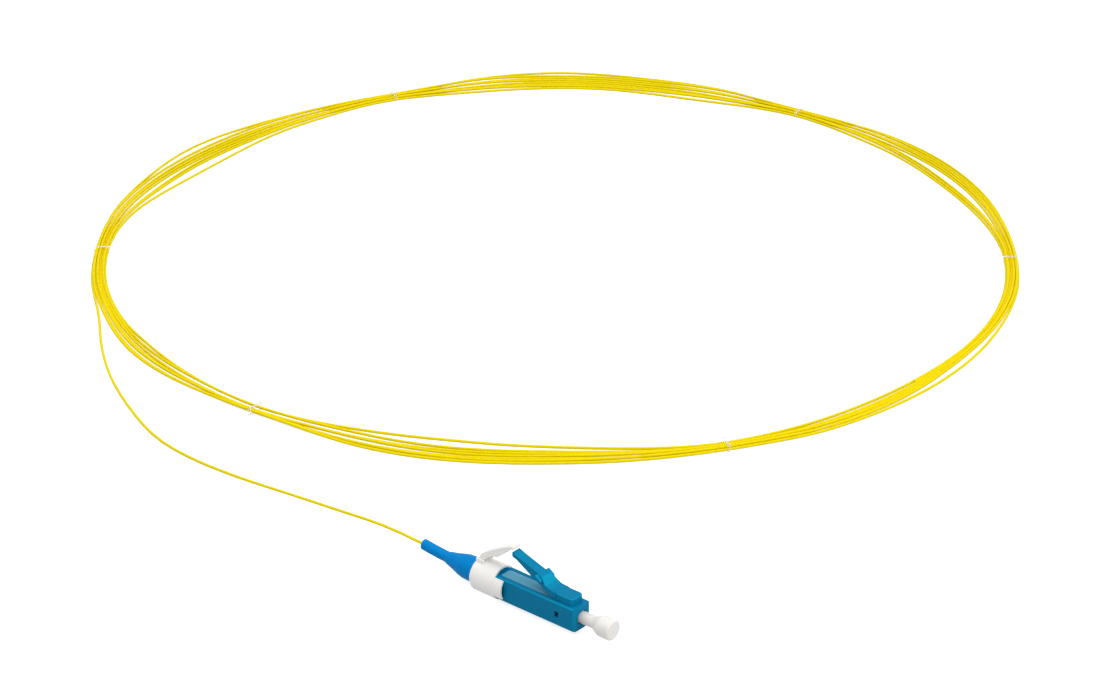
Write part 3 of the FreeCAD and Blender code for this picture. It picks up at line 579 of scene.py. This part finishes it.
def add_grained_panel_sheen(material, low_mm, high_mm, corner_mm, color):
    """Finely grained panel on the faces of a box with round corners, its lighter colour painted
    sheen.
    """
    tree, shader = material.node_tree, shader_of(material)
    place = add(tree, "TexCoord").outputs["Object"]
    parts = add(tree, "SeparateXYZ", {"Vector": place}).outputs
    middles = [(low + high) / 2 * MM for low, high in zip(low_mm, high_mm)]
    halves = [(high - low) / 2 * MM for low, high in zip(low_mm, high_mm)]
    reaches = [calculated(tree, "ABSOLUTE", calculated(tree, "SUBTRACT", part, middle))
               for part, middle in zip(parts, middles)]
    corner = corner_mm * MM
    squares = []
    for reach, half in list(zip(reaches, halves))[:2]:
        past = calculated(tree, "SUBTRACT", reach, half - corner)
        past = calculated(tree, "MAXIMUM", past, 0.0)
        squares.append(calculated(tree, "MULTIPLY", past, past))
    off_corner = calculated(tree, "SQRT", calculated(tree, "ADD", *squares))
    inside = calculated(tree, "LESS_THAN", off_corner, corner)
    level = calculated(tree, "LESS_THAN", reaches[2], halves[2])
    mask = calculated(tree, "MULTIPLY", inside, level)
    grain = add(tree, "TexNoise", {"Vector": place, "Scale": PANEL_GRAIN}).outputs["Fac"]
    shade = mixed(tree, grain, scaled(color, PANEL_SHADE), color)
    plain = shader.inputs["Base Color"].links[0].from_socket
    put(shader, {"Base Color": mixed(tree, mask, plain, shade)})


def dress(item, material, bevel_mm=0.0):
    """Give a CAD node or a piece its finish, smooth round faces and softly rounded edges."""
    item.data.materials.clear()
    item.data.materials.append(material)
    for face in item.data.polygons:
        face.use_smooth = True
    item.data.set_sharp_from_angle(angle=math.radians(SHARP_DEG))
    if bevel_mm:
        bevel = item.modifiers.new("soft_edges", "BEVEL")
        bevel.width = bevel_mm * MM
        bevel.segments = BEVEL_STEPS
        bevel.limit_method = "ANGLE"
        bevel.angle_limit = math.radians(BEVEL_DEG)
        bevel.harden_normals = True


def seen_ray(tree):
    """Socket that is 1 for rays from the camera, off gloss or through glass, else 0."""
    path = add(tree, "LightPath").outputs
    total = calculated(tree, "MAXIMUM", path["Is Camera Ray"], path["Is Glossy Ray"])
    return calculated(tree, "MAXIMUM", total, path["Is Transmission Ray"])


def add_world():
    """White surroundings to look at, with plain soft light from all round."""
    world = bpy.data.worlds.new("world")
    bpy.context.scene.world = world
    world.use_nodes = True
    tree = world.node_tree
    level = add(tree, "MapRange", {"Value": seen_ray(tree), "To Min": WORLD_LIGHT,
                                   "To Max": 1.0})
    put(tree.nodes["Background"], {"Color": WHITE, "Strength": level.outputs["Result"]})


def add_floor():
    """Plain white floor that keeps the object's shadow."""
    material, shader = new_material("floor")
    tree = material.node_tree
    glow = calculated(tree, "MULTIPLY", seen_ray(tree), FLOOR_GLOW)
    put(shader, {"Base Color": FLOOR_TONE, "Roughness": FLOOR_ROUGHNESS,
                 "Specular IOR Level": 0.0, "Emission Color": WHITE,
                 "Emission Strength": glow})
    half = FLOOR_HALF_WIDTH
    mesh = bpy.data.meshes.new("floor")
    mesh.from_pydata([(-half, -half, 0), (half, -half, 0), (half, half, 0), (-half, half, 0)],
                     [], [(0, 1, 2, 3)])
    mesh.materials.append(material)
    floor = add_object("floor", mesh)


def add_light(name, place, aim, size, watts):
    """Soft area lamp aimed at a point."""
    data = bpy.data.lights.new(name, "AREA")
    data.shape = "SQUARE"
    data.size = size
    data.energy = watts
    lamp = add_object(name, data)
    lamp.location = place
    lamp.rotation_euler = (Vector(aim) - Vector(place)).to_track_quat("-Z", "Y").to_euler()


add_camera()
fibre = add_fibre()
boot = bent_copy("boot", "boot_flexed")
fibre_in_boot = bent_copy("inner_fibre", "fibre_in_boot")
spring = add_spring()

materials = {name: moulded(name, *row) for name, row in MOULDED.items()}
materials.update({name: turned_metal(name, *row) for name, row in TURNED.items()})
# Painted shade on the cap's stem near the plug
add_painted_shade(materials["cap_plastic"], *CAP_PAINTED_SHADE_MM, CAP_PAINTED_SHADE)
# Painted highlight on the rounded edges of the teal pieces
for name in ("teal_plastic", "teal_body"):
    add_painted_edge_highlight(materials[name], srgb(EDGE_HIGHLIGHT_COLOR), EDGE_HIGHLIGHT_SHARE)
# Grained panel on the plug's top, whose lighter colour is painted sheen
add_grained_panel_sheen(materials["teal_body"], *PANEL_BOX_MM, PANEL_CORNER_MM, srgb(PANEL_SHEEN_COLOR))

for name, finish in FINISHES.items():
    dress(nodes[name], materials[finish], SOFT_EDGES_MM.get(name, 0.0))
dress(boot, materials["blue_rubber"], BOOT_EDGE_MM)
dress(fibre_in_boot, materials["fibre_jacket"])
dress(spring, materials["spring_steel"])
fibre.data.materials.append(materials["fibre_jacket"])

add_floor()
add_world()
for lamp in LAMPS:
    add_light(*lamp)
bpy.context.scene.view_settings.view_transform = "Standard"
